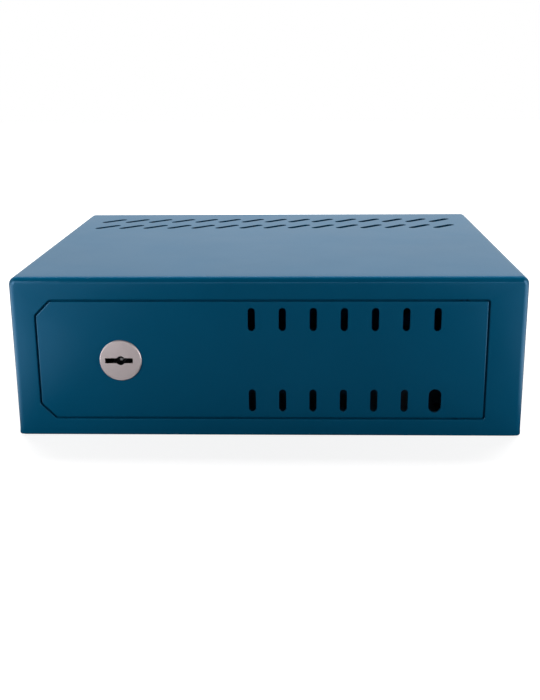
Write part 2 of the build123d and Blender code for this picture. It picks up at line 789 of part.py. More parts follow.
save(springs.part, "lever_springs")
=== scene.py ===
import json
from math import cos, pi, radians, sin

import bmesh
import bpy
from bpy.props import FloatProperty, FloatVectorProperty, PointerProperty
from mathutils import Matrix, Vector


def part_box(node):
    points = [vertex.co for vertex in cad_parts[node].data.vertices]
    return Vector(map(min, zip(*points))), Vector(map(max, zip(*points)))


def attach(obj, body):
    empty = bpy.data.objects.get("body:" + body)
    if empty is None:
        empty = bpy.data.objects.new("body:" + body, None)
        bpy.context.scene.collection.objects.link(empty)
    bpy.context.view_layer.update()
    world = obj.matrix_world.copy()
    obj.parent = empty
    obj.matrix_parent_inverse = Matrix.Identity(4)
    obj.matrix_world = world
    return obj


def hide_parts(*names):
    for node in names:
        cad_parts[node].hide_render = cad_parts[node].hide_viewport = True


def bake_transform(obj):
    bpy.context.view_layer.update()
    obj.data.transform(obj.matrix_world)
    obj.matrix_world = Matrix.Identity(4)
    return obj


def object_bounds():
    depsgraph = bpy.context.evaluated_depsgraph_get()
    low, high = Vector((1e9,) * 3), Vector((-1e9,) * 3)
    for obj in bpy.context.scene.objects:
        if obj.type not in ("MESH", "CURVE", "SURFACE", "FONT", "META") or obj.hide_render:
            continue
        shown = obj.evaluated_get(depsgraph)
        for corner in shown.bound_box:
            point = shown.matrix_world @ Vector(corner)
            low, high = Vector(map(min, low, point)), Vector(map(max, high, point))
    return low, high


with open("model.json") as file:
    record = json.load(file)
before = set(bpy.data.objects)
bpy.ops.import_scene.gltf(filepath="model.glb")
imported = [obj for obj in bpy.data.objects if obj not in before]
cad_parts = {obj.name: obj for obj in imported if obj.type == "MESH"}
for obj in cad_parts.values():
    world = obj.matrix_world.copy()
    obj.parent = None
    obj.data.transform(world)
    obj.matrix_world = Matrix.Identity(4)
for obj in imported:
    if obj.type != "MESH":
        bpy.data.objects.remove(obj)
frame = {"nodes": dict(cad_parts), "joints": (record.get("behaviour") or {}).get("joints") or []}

bl_info = {
    "name": "Recorder lock box",
    "version": (1, 0, 0),
    "blender": (4, 5, 0),
    "location": "View3D > Sidebar > Lock Box",
    "description": "Finishes, small details and studio for a ventilated steel lock box",
    "category": "Object",
}

# The lowest and the highest corner of the solids.
CAD_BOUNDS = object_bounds()
NODES = frame["nodes"]
JOINTS = {joint["name"]: joint for joint in frame["joints"]}
KEY_AXIS = Vector(JOINTS["key_turn"]["pos_m"])
FRAME_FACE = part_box("front_frame")[0].y
# The power of the curve that a lower corner is drawn to: 2 is round, more is squarer.
SQUARENESS = 7

# Names of the materials that more than one operator uses.
OUTSIDE_PAINT = "Petrol blue paint"
# The inside paint is darker than the outside paint as painted shade.
SHADED_INSIDE_PAINT = "Petrol blue inside"
ZINC_PLATE = "Zinc plate"


def color_property(name, description, default):
    """A linear colour that the user can pick."""
    return FloatVectorProperty(
        name=name, description=description, default=default, subtype="COLOR", size=3, min=0, max=1
    )


def length_property(name, description, default):
    """A length in metres."""
    return FloatProperty(name=name, description=description, default=default, unit="LENGTH")


def strength_property(name, description, default):
    """The power of a lamp or the brightness of a surface."""
    return FloatProperty(name=name, description=description, default=default, min=0)


class PaintSettings(bpy.types.PropertyGroup):
    """The petrol-blue stoving paint on the cabinet and the door."""

    color: color_property("Paint", "Colour of the paint film", (0.0, 0.073, 0.152))
    tint: color_property("Gloss tint", "Tint of the gloss seen straight on", (0.35, 0.65, 1.00))
    roughness: FloatProperty(
        name="Roughness", description="Roughness of the paint film", default=0.22, min=0, max=1
    )
    gloss: FloatProperty(
        name="Gloss", description="Strength of the gloss seen straight on", default=0.50, min=0, max=1
    )
    inside_roughness: FloatProperty(
        name="Inside roughness", description="Roughness of the paint inside", default=0.45,
        min=0, max=1,
    )
    inside_gloss: FloatProperty(
        name="Inside gloss", description="Strength of the gloss inside", default=0.0625,
        min=0, max=1,
    )
    peel_size: length_property("Orange peel", "Width of one wave of the orange peel", 0.0024)
    peel_depth: length_property("Peel depth", "Height of the orange peel", 0.000004)
    # The paler paint at sharp edges is partly thin paint and partly a painted highlight on the lit
    # rims.
    edge_width: length_property(
        "Thin edge", "Width over which the paint thins at a sharp edge", 0.0005
    )


class MetalSettings(bpy.types.PropertyGroup):
    """The bare and plated metals, the rubber and the nylon."""

    rosette: color_property("Rosette", "Spun satin plate", (0.68, 0.60, 0.61))
    zinc: color_property("Zinc", "Plate on the lock case", (0.56, 0.57, 0.56))
    brass: color_property("Brass", "Levers and spacer", (0.66, 0.44, 0.17))
    steel: color_property("Steel", "Turned bolts, pins and stump", (0.50, 0.50, 0.51))
    spring: color_property("Spring steel", "Blued springs and grub screw", (0.07, 0.09, 0.15))
    rubber: color_property("Rubber", "Cable grommets", (0.018, 0.018, 0.019))
    nylon: color_property("Nylon", "Hinge washers", (0.002, 0.050, 0.115))
    # The rotor's near-black colour is painted shade for the dark inside of the keyhole.
    rotor_shade_color: color_property("Black steel", "Rotor of the lock", (0.060, 0.060, 0.066))
    ring_pitch: length_property(
        "Ring pitch", "Distance between the spun rings of the rosette", 0.0007
    )
    grain: length_property("Grain", "Width of one brushed line", 0.0003)


class ShapeSettings(bpy.types.PropertyGroup):
    """Sizes of the forms that are added to the model or drawn anew."""

    front_roll: length_property("Front roll", "Radius of the front frame's rolled edge", 0.005)
    lower_corner: length_property(
        "Lower corner", "Radius of the lower corners before they are drawn", 0.0065
    )
    shell_sheet: length_property("Shell sheet", "Thickness of the shell", 0.002)
    roof_slot_widening: length_property(
        "Roof slot widening", "How far each wall of a roof slot is moved out", 0.0010
    )
    door_gap: length_property("Door gap", "Width of the seam round the door", 0.0015)
    corner_cut: length_property("Corner cut", "Leg of the door opening's cut corners", 0.013)
    lip_sheet: length_property("Lip sheet", "Thickness of the lips behind the seam", 0.0014)
    lip_outside: length_property("Lip outside", "How far a lip reaches behind the frame", 0.0008)
    lip_inside: length_property("Lip inside", "How far a lip reaches into the opening", 0.0030)
    lip_play: length_property("Lip play", "Distance from the sheet in front to a lip", 0.0001)
    lip_from_hinge: length_property(
        "Lip from hinge", "Distance from the hinge axis to the lips", 0.0053
    )
    lip_end_inside: length_property(
        "Lip end inside", "How far a lip reaches in beside a hinge washer", 0.0014
    )
    lip_end_from_hinge: length_property(
        "Lip end from hinge", "Distance from the hinge axis to a lip's end", 0.0032
    )
    leaf_root: length_property(
        "Leaf root", "Distance from the key axis to the roots of the leaf springs", 0.014
    )
    leaf_tip: length_property(
        "Leaf tip", "Distance from the key axis to the tips of the leaf springs", 0.004
    )
    bead_radius: length_property("Weld bead", "Radius of a weld bead", 0.0013)
    bead_ripple: length_property("Ripple", "Length of one ripple of a bead", 0.0012)
    bead_inset: length_property("Bead inset", "Distance from the barrel's side to the bead", 0.0006)
    bead_margin: length_property(
        "Bead margin", "Distance from the barrel's end to the bead's end", 0.002
    )
    stud_radius: length_property("Stud", "Radius of the studs", 0.0025)
    thread_pitch: length_property("Thread pitch", "Distance between two threads", 0.0008)
    thread_height: length_property(
        "Thread height", "How far a crest stands out of the stud", 0.00015
    )


class StageSettings(bpy.types.PropertyGroup):
    """Camera, floor, lamps and what gloss shows of the studio."""

    camera_place: FloatVectorProperty(
        name="Camera", description="Place of the camera", default=(0.0288, -0.9620, 0.3051),
        subtype="TRANSLATION", unit="LENGTH", size=3,
    )
    camera_yaw: FloatProperty(
        name="Yaw", description="Turn of the camera to the left", default=radians(1.920),
        subtype="ANGLE",
    )
    camera_pitch: FloatProperty(
        name="Pitch", description="How far the camera looks down", default=radians(16.177),
        subtype="ANGLE",
    )
    camera_roll: FloatProperty(
        name="Roll", description="Tilt of the camera", default=radians(-0.472), subtype="ANGLE"
    )
    lens: FloatProperty(
        name="Lens", description="Focal length in millimetres", default=52.11, min=1
    )
    floor_size: length_property("Floor", "Side of the floor", 8.0)
    fill: strength_property("Fill", "Light from all sides on matt surfaces", 0.08)
    gloss_front: strength_property(
        "Front gloss", "Brightness that gloss shows behind the camera", 0.02
    )
    gloss_horizon: strength_property(
        "Horizon gloss", "Brightness that gloss shows low behind the camera", 2.4
    )
    gloss_sides: strength_property("Side gloss", "Brightness that gloss shows at the sides", 0.5)
    gloss_rear: strength_property("Rear gloss", "Brightness that gloss shows behind the box", 0.57)
    gloss_patch: strength_property(
        "Patch gloss", "Brightness that gloss shows off the front corners", 3.6
    )
    floor_bounce: FloatProperty(
        name="Floor bounce", description="How much light the floor throws up at the box",
        default=0.36, min=0, max=1,
    )
    floor_glow: strength_property(
        "Floor glow", "Brightness of the floor in the shadow of the box", 0.80
    )
    floor_gloss: strength_property(
        "Floor gloss", "Brightness of the floor in the gloss of the paint", 0.02
    )
    rear: strength_property("Rear softbox", "Power of the lamp above and behind the box", 118.0)
    left: strength_property("Front left", "Power of the lamp at the front left", 1.4)
    right: strength_property("Front right", "Power of the lamp at the front right", 1.2)


# Most of the noise lies between these two values.
NOISE_LOW = 0.3
NOISE_HIGH = 0.7
# How alike the bevelled and the true normal are on a flat face and at a sharp edge.
ALIKE_ON_FACE = 0.99
ALIKE_AT_EDGE = 0.80
BEVEL_SAMPLES = 4
# Paint at a sharp edge is paler by this factor and this much: partly thin paint, partly a painted
# highlight on the lit rim.
EDGE_THIN_AND_HIGHLIGHT_FACTOR = 1.5
EDGE_THIN_AND_HIGHLIGHT_LIFT = 0.012
# Depths of brushed lines, tool rings and spun rings, as shares of their width or pitch.
GRAIN_DEPTH = 0.008
TOOL_RING_DEPTH = 0.03
SPUN_DEPTH = 0.012
# Spun plate: width of a scratch as a share of the pitch, and height of the rings to the scratches.
SCRATCH_WIDTH = 0.35
RING_SHARE = 0.3
# Keyhole walls: how far behind the face their painted shade starts and is full, and their share of
# the colour.
KEYHOLE_WALL = (0.00005, 0.00015)
KEYHOLE_SHADE = 0.03
# Moulded rubber and nylon: strength of the gloss and depth of the bloom.
MOULDED_GLOSS = 0.2
MOULDED_DEPTH = 0.00003
# Facets that meet at a smaller angle are shaded as one round surface, by these nodes.
SMOOTH_BELOW = radians(32)
SMOOTHING = "Smooth Round Surfaces"
# Points of a mesh that lie nearer together than this are welded for shading.
SAME_POINT = 0.000002


def shader_of(tree):
    """The main shader of a material's node tree."""
    return tree.nodes["Principled BSDF"]


def new_material(name, color, metallic, roughness):
    """A material with constant base values on its shader."""
    material = bpy.data.materials.new(name)
    material.use_nodes = True
    shader = shader_of(material.node_tree)
    shader.inputs["Base Color"].default_value = (*color, 1)
    shader.inputs["Metallic"].default_value = metallic
    shader.inputs["Roughness"].default_value = roughness
    return material


def fill_inputs(tree, slots, operands):
    """Gives each slot its operand: a socket is linked, a value is set and None is left out."""
    for slot, operand in zip(slots, operands):
        if isinstance(operand, bpy.types.NodeSocket):
            tree.links.new(operand, slot)
        elif operand is not None:
            slot.default_value = operand


def math_node(tree, operation, first, second=None):
    """The result of a math node; each operand is a socket or a number."""
    node = tree.nodes.new("ShaderNodeMath")
    node.operation = operation
    fill_inputs(tree, node.inputs, (first, second))
    return node.outputs["Value"]


def vector_node(tree, operation, first, second=None):
    """A vector math node; each operand is a socket or three numbers."""
    node = tree.nodes.new("ShaderNodeVectorMath")
    node.operation = operation
    fill_inputs(tree, node.inputs, (first, second))
    return node


def remap(tree, value, low, high, out_low, out_high):
    """Maps value from low..high to out_low..out_high and clamps it."""
    node = tree.nodes.new("ShaderNodeMapRange")
    slots = [node.inputs[name] for name in ("Value", "From Min", "From Max", "To Min", "To Max")]
    fill_inputs(tree, slots, (value, low, high, out_low, out_high))
    return node.outputs["Result"]


def object_coordinates(tree):
    """Coordinates in metres, in the frame of the model."""
    return tree.nodes.new("ShaderNodeTexCoord").outputs["Object"]


def coordinate(tree, vector, axis):
    """The X, Y or Z of a vector."""
    split = tree.nodes.new("ShaderNodeSeparateXYZ")
    tree.links.new(vector, split.inputs["Vector"])
    return split.outputs[axis]


def distance_from(tree, value, middle):
    """How far a value is from the middle, to either side."""
    return math_node(tree, "ABSOLUTE", math_node(tree, "SUBTRACT", value, middle))


def waves(tree, distance, pitch):
    """A sine wave along a distance."""
    return math_node(tree, "SINE", math_node(tree, "MULTIPLY", distance, 2 * pi / pitch))


def noise(tree, vector, width, detail, stretch=(1, 1, 1)):
    """Noise with lumps of about the given width, drawn out by stretch."""
    mapping = tree.nodes.new("ShaderNodeMapping")
    mapping.inputs["Scale"].default_value = [1 / factor for factor in stretch]
    texture = tree.nodes.new("ShaderNodeTexNoise")
    texture.inputs["Scale"].default_value = 1 / width
    texture.inputs["Detail"].default_value = detail
    tree.links.new(vector, mapping.inputs["Vector"])
    tree.links.new(mapping.outputs["Vector"], texture.inputs["Vector"])
    return texture.outputs["Fac"]


def spread(tree, lumps, low, high):
    """Spreads noise over low..high."""
    return remap(tree, lumps, NOISE_LOW, NOISE_HIGH, low, high)


def scaled(color, factor):
    """A colour with each channel times a factor."""
    return tuple(channel * factor for channel in color)


def mix_colors(tree, factor, first, second):
    """Mixes two colours, each a socket or three numbers, by a factor socket."""
    node = tree.nodes.new("ShaderNodeMix")
    node.data_type = "RGBA"
    tree.links.new(factor, node.inputs["Factor"])
    for slot, color in ((node.inputs["A"], first), (node.inputs["B"], second)):
        if isinstance(color, bpy.types.NodeSocket):
            tree.links.new(color, slot)
        else:
            slot.default_value = (*color, 1)
    return node.outputs["Result"]


def mottled(tree, lumps, color, darkest, palest):
    """A colour that varies with noise between two factors."""
    return mix_colors(tree, lumps, scaled(color, darkest), scaled(color, palest))


def set_color(tree, socket):
    """Lets a socket give the shader its colour."""
    tree.links.new(socket, shader_of(tree).inputs["Base Color"])


def vary_roughness(tree, lumps, roughness, smoother, rougher):
    """Lets noise vary the shader's roughness."""
    uneven = spread(tree, lumps, roughness - smoother, roughness + rougher)
    tree.links.new(uneven, shader_of(tree).inputs["Roughness"])


def add_bump(tree, height, depth):
    """Bump on the shader, where a height of 1 stands depth metres proud."""
    node = tree.nodes.new("ShaderNodeBump")
    node.inputs["Distance"].default_value = depth
    tree.links.new(height, node.inputs["Height"])
    tree.links.new(node.outputs["Normal"], shader_of(tree).inputs["Normal"])


def edge_mask(tree, width):
    """1 on the sharp edges of the mesh, 0 on its faces."""
    bevel = tree.nodes.new("ShaderNodeBevel")
    bevel.samples = BEVEL_SAMPLES
    bevel.inputs["Radius"].default_value = width
    geometry = tree.nodes.new("ShaderNodeNewGeometry")
    alike = vector_node(tree, "DOT_PRODUCT", bevel.outputs["Normal"], geometry.outputs["Normal"])
    return remap(tree, alike.outputs["Value"], ALIKE_ON_FACE, ALIKE_AT_EDGE, 0.0, 1.0)


def paint_material(name, settings, roughness, gloss, strength):
    """Stoved paint: orange peel, faint clouding, and paler paint at sharp edges, partly where it
    thins and partly a painted highlight.
    """
    color = scaled(settings.color, strength)
    material = new_material(name, color, 0.0, roughness)
    tree = material.node_tree
    shader_of(tree).inputs["Specular Tint"].default_value = (*settings.tint, 1)
    shader_of(tree).inputs["Specular IOR Level"].default_value = gloss
    where = object_coordinates(tree)
    clouds = noise(tree, where, width=0.06, detail=3)
    film = mottled(tree, clouds, color, darkest=0.94, palest=1.06)
    # Sharp edges get paler paint: partly thin paint, partly a painted highlight.
    thin_and_highlit = [channel * EDGE_THIN_AND_HIGHLIGHT_FACTOR + EDGE_THIN_AND_HIGHLIGHT_LIFT for channel in color]
    thinning_and_highlight = spread(tree, clouds, low=0.25, high=0.6)
    worn_and_highlit = math_node(tree, "MULTIPLY", edge_mask(tree, settings.edge_width), thinning_and_highlight)
    set_color(tree, mix_colors(tree, worn_and_highlit, film, thin_and_highlit))
    smears = noise(tree, where, width=0.05, detail=4)
    vary_roughness(tree, smears, roughness, smoother=0.015, rougher=0.015)
    add_bump(tree, noise(tree, where, width=settings.peel_size, detail=1), settings.peel_depth)
    return material


def brushed_material(name, color, roughness, grain, stretch):
    """Bare metal with fine brushed lines, drawn out by stretch."""
    material = new_material(name, color, 1.0, roughness)
    tree = material.node_tree
    where = object_coordinates(tree)
    lines = noise(tree, where, width=grain, detail=2, stretch=stretch)
    stains = noise(tree, where, width=0.012, detail=4)
    set_color(tree, mottled(tree, stains, color, darkest=0.86, palest=1.10))
    vary_roughness(tree, lines, roughness, smoother=0.05, rougher=0.07)
    add_bump(tree, lines, grain * GRAIN_DEPTH)
    return material


def turned_material(name, color, roughness, pitch, axis):
    """Turned steel, with fine tool rings along one axis of the model."""
    material = new_material(name, color, 1.0, roughness)
    tree = material.node_tree
    where = object_coordinates(tree)
    rings = waves(tree, coordinate(tree, where, axis), pitch)
    uneven = noise(tree, where, width=0.004, detail=3)
    set_color(tree, mottled(tree, uneven, color, darkest=0.85, palest=1.12))
    vary_roughness(tree, uneven, roughness, smoother=0.05, rougher=0.08)
    add_bump(tree, math_node(tree, "MULTIPLY", rings, uneven), pitch * TOOL_RING_DEPTH)
    return material


def spun_material(name, color, roughness, pitch, center, face_depth, keyhole_reach):
    """Satin plate spun about the Y axis through center, whose keyhole walls are painted dark as
    shade.
    """
    material = new_material(name, color, 1.0, roughness)
    tree = material.node_tree
    where = object_coordinates(tree)
    offset = vector_node(tree, "SUBTRACT", where, center).outputs["Vector"]
    flat = vector_node(tree, "MULTIPLY", offset, (1, 0, 1)).outputs["Vector"]
    distance = vector_node(tree, "LENGTH", flat).outputs["Value"]
    outward = tree.nodes.new("ShaderNodeCombineXYZ")
    tree.links.new(distance, outward.inputs["X"])
    scratches = noise(tree, outward.outputs["Vector"], width=pitch * SCRATCH_WIDTH, detail=4)
    stains = noise(tree, where, width=0.006, detail=3)
    face = mottled(tree, stains, color, darkest=0.93, palest=1.06)
    # The keyhole's walls get painted shade.
    wall_start, wall_full = (face_depth + depth for depth in KEYHOLE_WALL)
    behind_face = remap(tree, coordinate(tree, offset, "Y"), wall_start, wall_full, 0.0, 1.0)
    in_keyhole = math_node(tree, "LESS_THAN", distance, keyhole_reach)
    cut = math_node(tree, "MULTIPLY", behind_face, in_keyhole)
    set_color(tree, mix_colors(tree, cut, face, scaled(color, KEYHOLE_SHADE)))
    vary_roughness(tree, scratches, roughness, smoother=0.08, rougher=0.08)
    rings = math_node(tree, "MULTIPLY", waves(tree, distance, pitch), RING_SHARE)
    add_bump(tree, math_node(tree, "ADD", rings, scratches), pitch * SPUN_DEPTH)
    return material


def moulded_material(name, color, roughness):
    """Moulded rubber or nylon with a dusty bloom."""
    material = new_material(name, color, 0.0, roughness)
    tree = material.node_tree
    tint = scaled(color, 1 / max(color))
    shader_of(tree).inputs["Specular Tint"].default_value = (*tint, 1)
    shader_of(tree).inputs["Specular IOR Level"].default_value = MOULDED_GLOSS
    where = object_coordinates(tree)
    bloom = noise(tree, where, width=0.005, detail=5)
    set_color(tree, mottled(tree, bloom, color, darkest=0.7, palest=1.9))
    vary_roughness(tree, bloom, roughness, smoother=0.07, rougher=0.13)
    add_bump(tree, noise(tree, where, width=0.0006, detail=3), MOULDED_DEPTH)
    return material


def smooth_by_angle_group():
    """Geometry nodes that weld the facets and shade round surfaces smooth."""
    group = bpy.data.node_groups.new(SMOOTHING, "GeometryNodeTree")
    group.interface.new_socket("Geometry", in_out="INPUT", socket_type="NodeSocketGeometry")
    group.interface.new_socket("Geometry", in_out="OUTPUT", socket_type="NodeSocketGeometry")
    start = group.nodes.new("NodeGroupInput")
    end = group.nodes.new("NodeGroupOutput")
    weld = group.nodes.new("GeometryNodeMergeByDistance")
    weld.inputs["Distance"].default_value = SAME_POINT
    faces = group.nodes.new("GeometryNodeSetShadeSmooth")
    faces.domain = "FACE"
    edges = group.nodes.new("GeometryNodeSetShadeSmooth")
    edges.domain = "EDGE"
    angle = group.nodes.new("GeometryNodeInputMeshEdgeAngle")
    compare = group.nodes.new("FunctionNodeCompare")
    compare.data_type = "FLOAT"
    compare.operation = "GREATER_THAN"
    compare.inputs["B"].default_value = SMOOTH_BELOW
    edges.inputs["Shade Smooth"].default_value = False
    links = group.links
    links.new(start.outputs[0], weld.inputs["Geometry"])
    links.new(weld.outputs["Geometry"], faces.inputs["Geometry"])
    links.new(faces.outputs["Geometry"], edges.inputs["Geometry"])
    links.new(angle.outputs["Unsigned Angle"], compare.inputs["A"])
    links.new(compare.outputs["Result"], edges.inputs["Selection"])
    links.new(edges.outputs["Geometry"], end.inputs[0])
    return group


def shade_round(obj):
    """Shades an object's round surfaces smooth and leaves its corners sharp."""
    group = bpy.data.node_groups.get(SMOOTHING) or smooth_by_angle_group()
    modifier = obj.modifiers.new(SMOOTHING, "NODES")
    modifier.node_group = group


def coat(obj, material):
    """Gives an object one material and smooth round surfaces."""
    obj.data.materials.clear()
    obj.data.materials.append(material)
    shade_round(obj)


def coat_nodes(names, material):
    """Gives the named CAD nodes one material."""
    for name in names:
        coat(NODES[name], material)


def new_piece(name, mesh, body):
    """An object that moves with a body of the model."""
    obj = bpy.data.objects.new(name, mesh)
    bpy.context.scene.collection.objects.link(obj)
    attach(obj, body)
    return obj


def built_piece(name, mesh_data, body, material):
    """A piece made from a bmesh, in the named material."""
    mesh = bpy.data.meshes.new(name)
    mesh_data.to_mesh(mesh)
    mesh_data.free()
    piece = new_piece(name, mesh, body)
    coat(piece, bpy.data.materials[material])
    return piece


def join_rings(mesh_data, rings):
    """Joins rings of vertices to one closed body and caps its ends."""
    for near, far in zip(rings, rings[1:]):
        for step in range(len(near)):
            other = (step + 1) % len(near)
            mesh_data.faces.new((near[step], near[other], far[other], far[step]))
    mesh_data.faces.new(tuple(reversed(rings[0])))
    mesh_data.faces.new(tuple(rings[-1]))


class LOCKBOX_OT_paint(bpy.types.Operator):
    """Paint the cabinet, the door and what is welded to them"""

    bl_idname = "lockbox.paint"
    bl_label = "Paint cabinet and door"

    def execute(self, context):
        settings = context.scene.lockbox_paint
        outside = paint_material(
            OUTSIDE_PAINT, settings, settings.roughness, settings.gloss, strength=1.0
        )
        # The inside paint is this paint at 0.80 of its colour: painted shade on the parts inside the
        # box. Its rougher, weaker gloss is its own.
        inside = paint_material(
            SHADED_INSIDE_PAINT, settings, settings.inside_roughness, settings.inside_gloss, strength=0.80
        )
        coat_nodes(("cabinet_shell", "front_frame", "back_panel", "door_panel"), outside)
        coat_nodes(
            ("base_plate", "hinge_tab_upper", "hinge_tab_lower", "door_stop_upper",
             "door_stop_lower", "bolt_keeper", "hinge_barrel_upper", "hinge_barrel_lower"),
            inside,
        )
        return {"FINISHED"}


def corner_stretch(first, second):
    """How far a round corner is stretched outwards to draw it square, by direction."""
    longest = max(first, second)
    if longest <= 0:
        return 1.0
    along = first / longest
    beside = second / longest
    round_reach = (along**2 + beside**2) ** 0.5
    square_reach = (along**SQUARENESS + beside**SQUARENESS) ** (1 / SQUARENESS)
    return round_reach / square_reach


def square_front_edge(point, settings):
    """Moves one point of the front frame, so that its lower front edge is nearly square."""
    forward = max(0.0, FRAME_FACE + settings.front_roll - point.y)
    below = max(0.0, settings.front_roll - point.z)
    stretch = corner_stretch(forward, below)
    point.y = max(FRAME_FACE, point.y - forward * (stretch - 1))
    point.z = max(CAD_BOUNDS[0][2], point.z - below * (stretch - 1))


def square_side_corner(point, settings, reach):
    """Moves one point of a lower side corner that lies at least reach from its centre."""
    low, high = CAD_BOUNDS
    sideways = max(0.0, abs(point.x) - (high[0] - settings.lower_corner))
    below = max(0.0, settings.lower_corner - point.z)
    if (sideways**2 + below**2) ** 0.5 < reach:
        return
    stretch = corner_stretch(sideways, below)
    point.x += (sideways if point.x > 0 else -sideways) * (stretch - 1)
    point.x = min(high[0], max(low[0], point.x))
    point.z = max(low[2], point.z - below * (stretch - 1))


# The walls of the roof slots lie in this depth of the top, and keep these margins to the sides
# and the ends of the shell. They stand upright, so their normals rise less than this.
SLOT_WALL_DEPTH = 0.003
SLOT_SIDE_MARGIN = 0.020
SLOT_END_MARGIN = 0.001
SLOT_WALL_RISE = 0.5
# Points that are equal in this many digits are one place.
PLACE_DIGITS = 6


def widen_roof_slots(mesh, settings):
    """Moves the walls of the roof slots outwards."""
    roof = CAD_BOUNDS[1][2] - SLOT_WALL_DEPTH
    side = CAD_BOUNDS[1][0] - SLOT_SIDE_MARGIN
    front, back = (corner.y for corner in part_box("cabinet_shell"))
    pushes = {}
    for face in mesh.polygons:
        center = face.center
        if abs(face.normal.z) > SLOT_WALL_RISE or center.z < roof or abs(center.x) > side:
            continue
        if not front + SLOT_END_MARGIN < center.y < back - SLOT_END_MARGIN:
            continue
        for index in face.vertices:
            place = mesh.vertices[index].co.to_tuple(PLACE_DIGITS)
            pushes[place] = pushes.get(place, Vector()) + face.normal
    for vertex in mesh.vertices:
        push = pushes.get(vertex.co.to_tuple(PLACE_DIGITS))
        if push is not None:
            vertex.co -= push.normalized() * settings.roof_slot_widening


class LOCKBOX_OT_shell(bpy.types.Operator):
    """Draw the shell with wider roof slots and nearly square lower corners"""

    bl_idname = "lockbox.shell"
    bl_label = "Draw the shell"

    def execute(self, context):
        settings = context.scene.lockbox_shape
        shell = new_piece("cabinet_shell_drawn", NODES["cabinet_shell"].data.copy(), "cabinet")
        widen_roof_slots(shell.data, settings)
        # Only the outside of the sheet is moved, so the back panel still fits the inside.
        outer_half = settings.lower_corner - settings.shell_sheet / 2
        for vertex in shell.data.vertices:
            square_side_corner(vertex.co, settings, outer_half)
        coat(shell, bpy.data.materials[OUTSIDE_PAINT])
        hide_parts("cabinet_shell")
        return {"FINISHED"}


class LOCKBOX_OT_front_frame(bpy.types.Operator):
    """Draw the lower corners and the lower edge of the front frame nearly square"""

    bl_idname = "lockbox.front_frame"
    bl_label = "Draw the front frame"

    def execute(self, context):
        settings = context.scene.lockbox_shape
        frame_piece = new_piece("front_frame_drawn", NODES["front_frame"].data.copy(), "cabinet")
        for vertex in frame_piece.data.vertices:
            square_front_edge(vertex.co, settings)
            square_side_corner(vertex.co, settings, 0.0)
        coat(frame_piece, bpy.data.materials[OUTSIDE_PAINT])
        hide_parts("front_frame")
        return {"FINISHED"}


def mitred_strip(mesh_data, path, inside, front, settings):
    """Adds a flat strip with mitred corners along a path that has the opening on its left."""
    path = [Vector(place) for place in path]
    outside = settings.lip_outside
    back = front + settings.lip_sheet
    normals = []
    for near, far in zip(path, path[1:]):
        along = (far - near).normalized()
        normals.append(Vector((-along.y, along.x)))
    rings = []
    for place, before, after in zip(path, normals[:1] + normals, normals + normals[-1:]):
        mitre = (before + after) / (1 + before.dot(after))
        ring = []
        for reach, depth in ((-outside, front), (inside, front), (inside, back), (-outside, back)):
            spot = place + mitre * reach
            ring.append(mesh_data.verts.new((spot.x, depth, spot.y)))
        rings.append(ring)
    join_rings(mesh_data, rings)


def lip_paths(door_low, door_high, settings):
    """The lips of the frame and of the door: paths of X and Z, and how far each lip reaches in."""
    left = door_low.x - settings.door_gap
    right = door_high.x + settings.door_gap
    bottom = door_low.z - settings.door_gap
    top = door_high.z + settings.door_gap
    cut = settings.corner_cut
    stop_start, stop_end = (corner.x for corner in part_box("door_stop_upper"))
    hinge = JOINTS["door_hinge"]["pos_m"][0]
    before_hinge = hinge - settings.lip_from_hinge
    after_hinge = hinge + settings.lip_from_hinge
    frame_end = hinge - settings.lip_end_from_hinge
    door_end = hinge + settings.lip_end_from_hinge
    latch_side = [
        (stop_start, top), (left + cut, top), (left, top - cut),
        (left, bottom + cut), (left + cut, bottom), (stop_start, bottom),
    ]
    hinge_side = [(after_hinge, bottom), (right, bottom), (right, top), (after_hinge, top)]
    wide = settings.lip_inside
    narrow = settings.lip_end_inside
    frame_lips = (
        (latch_side, wide),
        ([(before_hinge, top), (stop_end, top)], wide),
        ([(stop_end, bottom), (before_hinge, bottom)], wide),
        ([(frame_end, top), (before_hinge, top)], narrow),
        ([(before_hinge, bottom), (frame_end, bottom)], narrow),
    )
    door_lips = (
        (hinge_side, wide),
        ([(door_end, bottom), (after_hinge, bottom)], narrow),
        ([(after_hinge, top), (door_end, top)], narrow),
    )
    return frame_lips, door_lips


class LOCKBOX_OT_lips(bpy.types.Operator):
    """Close the seam from behind, with lips on the frame and one on the door's hinge side"""

    bl_idname = "lockbox.lips"
    bl_label = "Close the seam"

    def execute(self, context):
        settings = context.scene.lockbox_shape
        door_low, door_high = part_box("door_panel")
        front = door_high.y + settings.lip_play
        frame_lips, door_lips = lip_paths(door_low, door_high, settings)
        for name, body, lips in (
            ("frame_lips", "cabinet", frame_lips),
            ("door_lip", "door", door_lips),
        ):
            mesh_data = bmesh.new()
            for path, inside in lips:
                mitred_strip(mesh_data, path, inside, front, settings)
            bmesh.ops.recalc_face_normals(mesh_data, faces=mesh_data.faces)
            lip = built_piece(name, mesh_data, body, SHADED_INSIDE_PAINT)
        return {"FINISHED"}


# Weld beads: rings to a ripple, corners of a ring, and as shares of the radius: a bead's ends, how
# fast it swells from there, its ripples, and how far its middle stands off the door.
BEAD_RINGS = 6
BEAD_CORNERS = 10
BEAD_END = 0.35
BEAD_SWELL = 6
BEAD_WAVE = 0.18
BEAD_RISE = 1 / 3


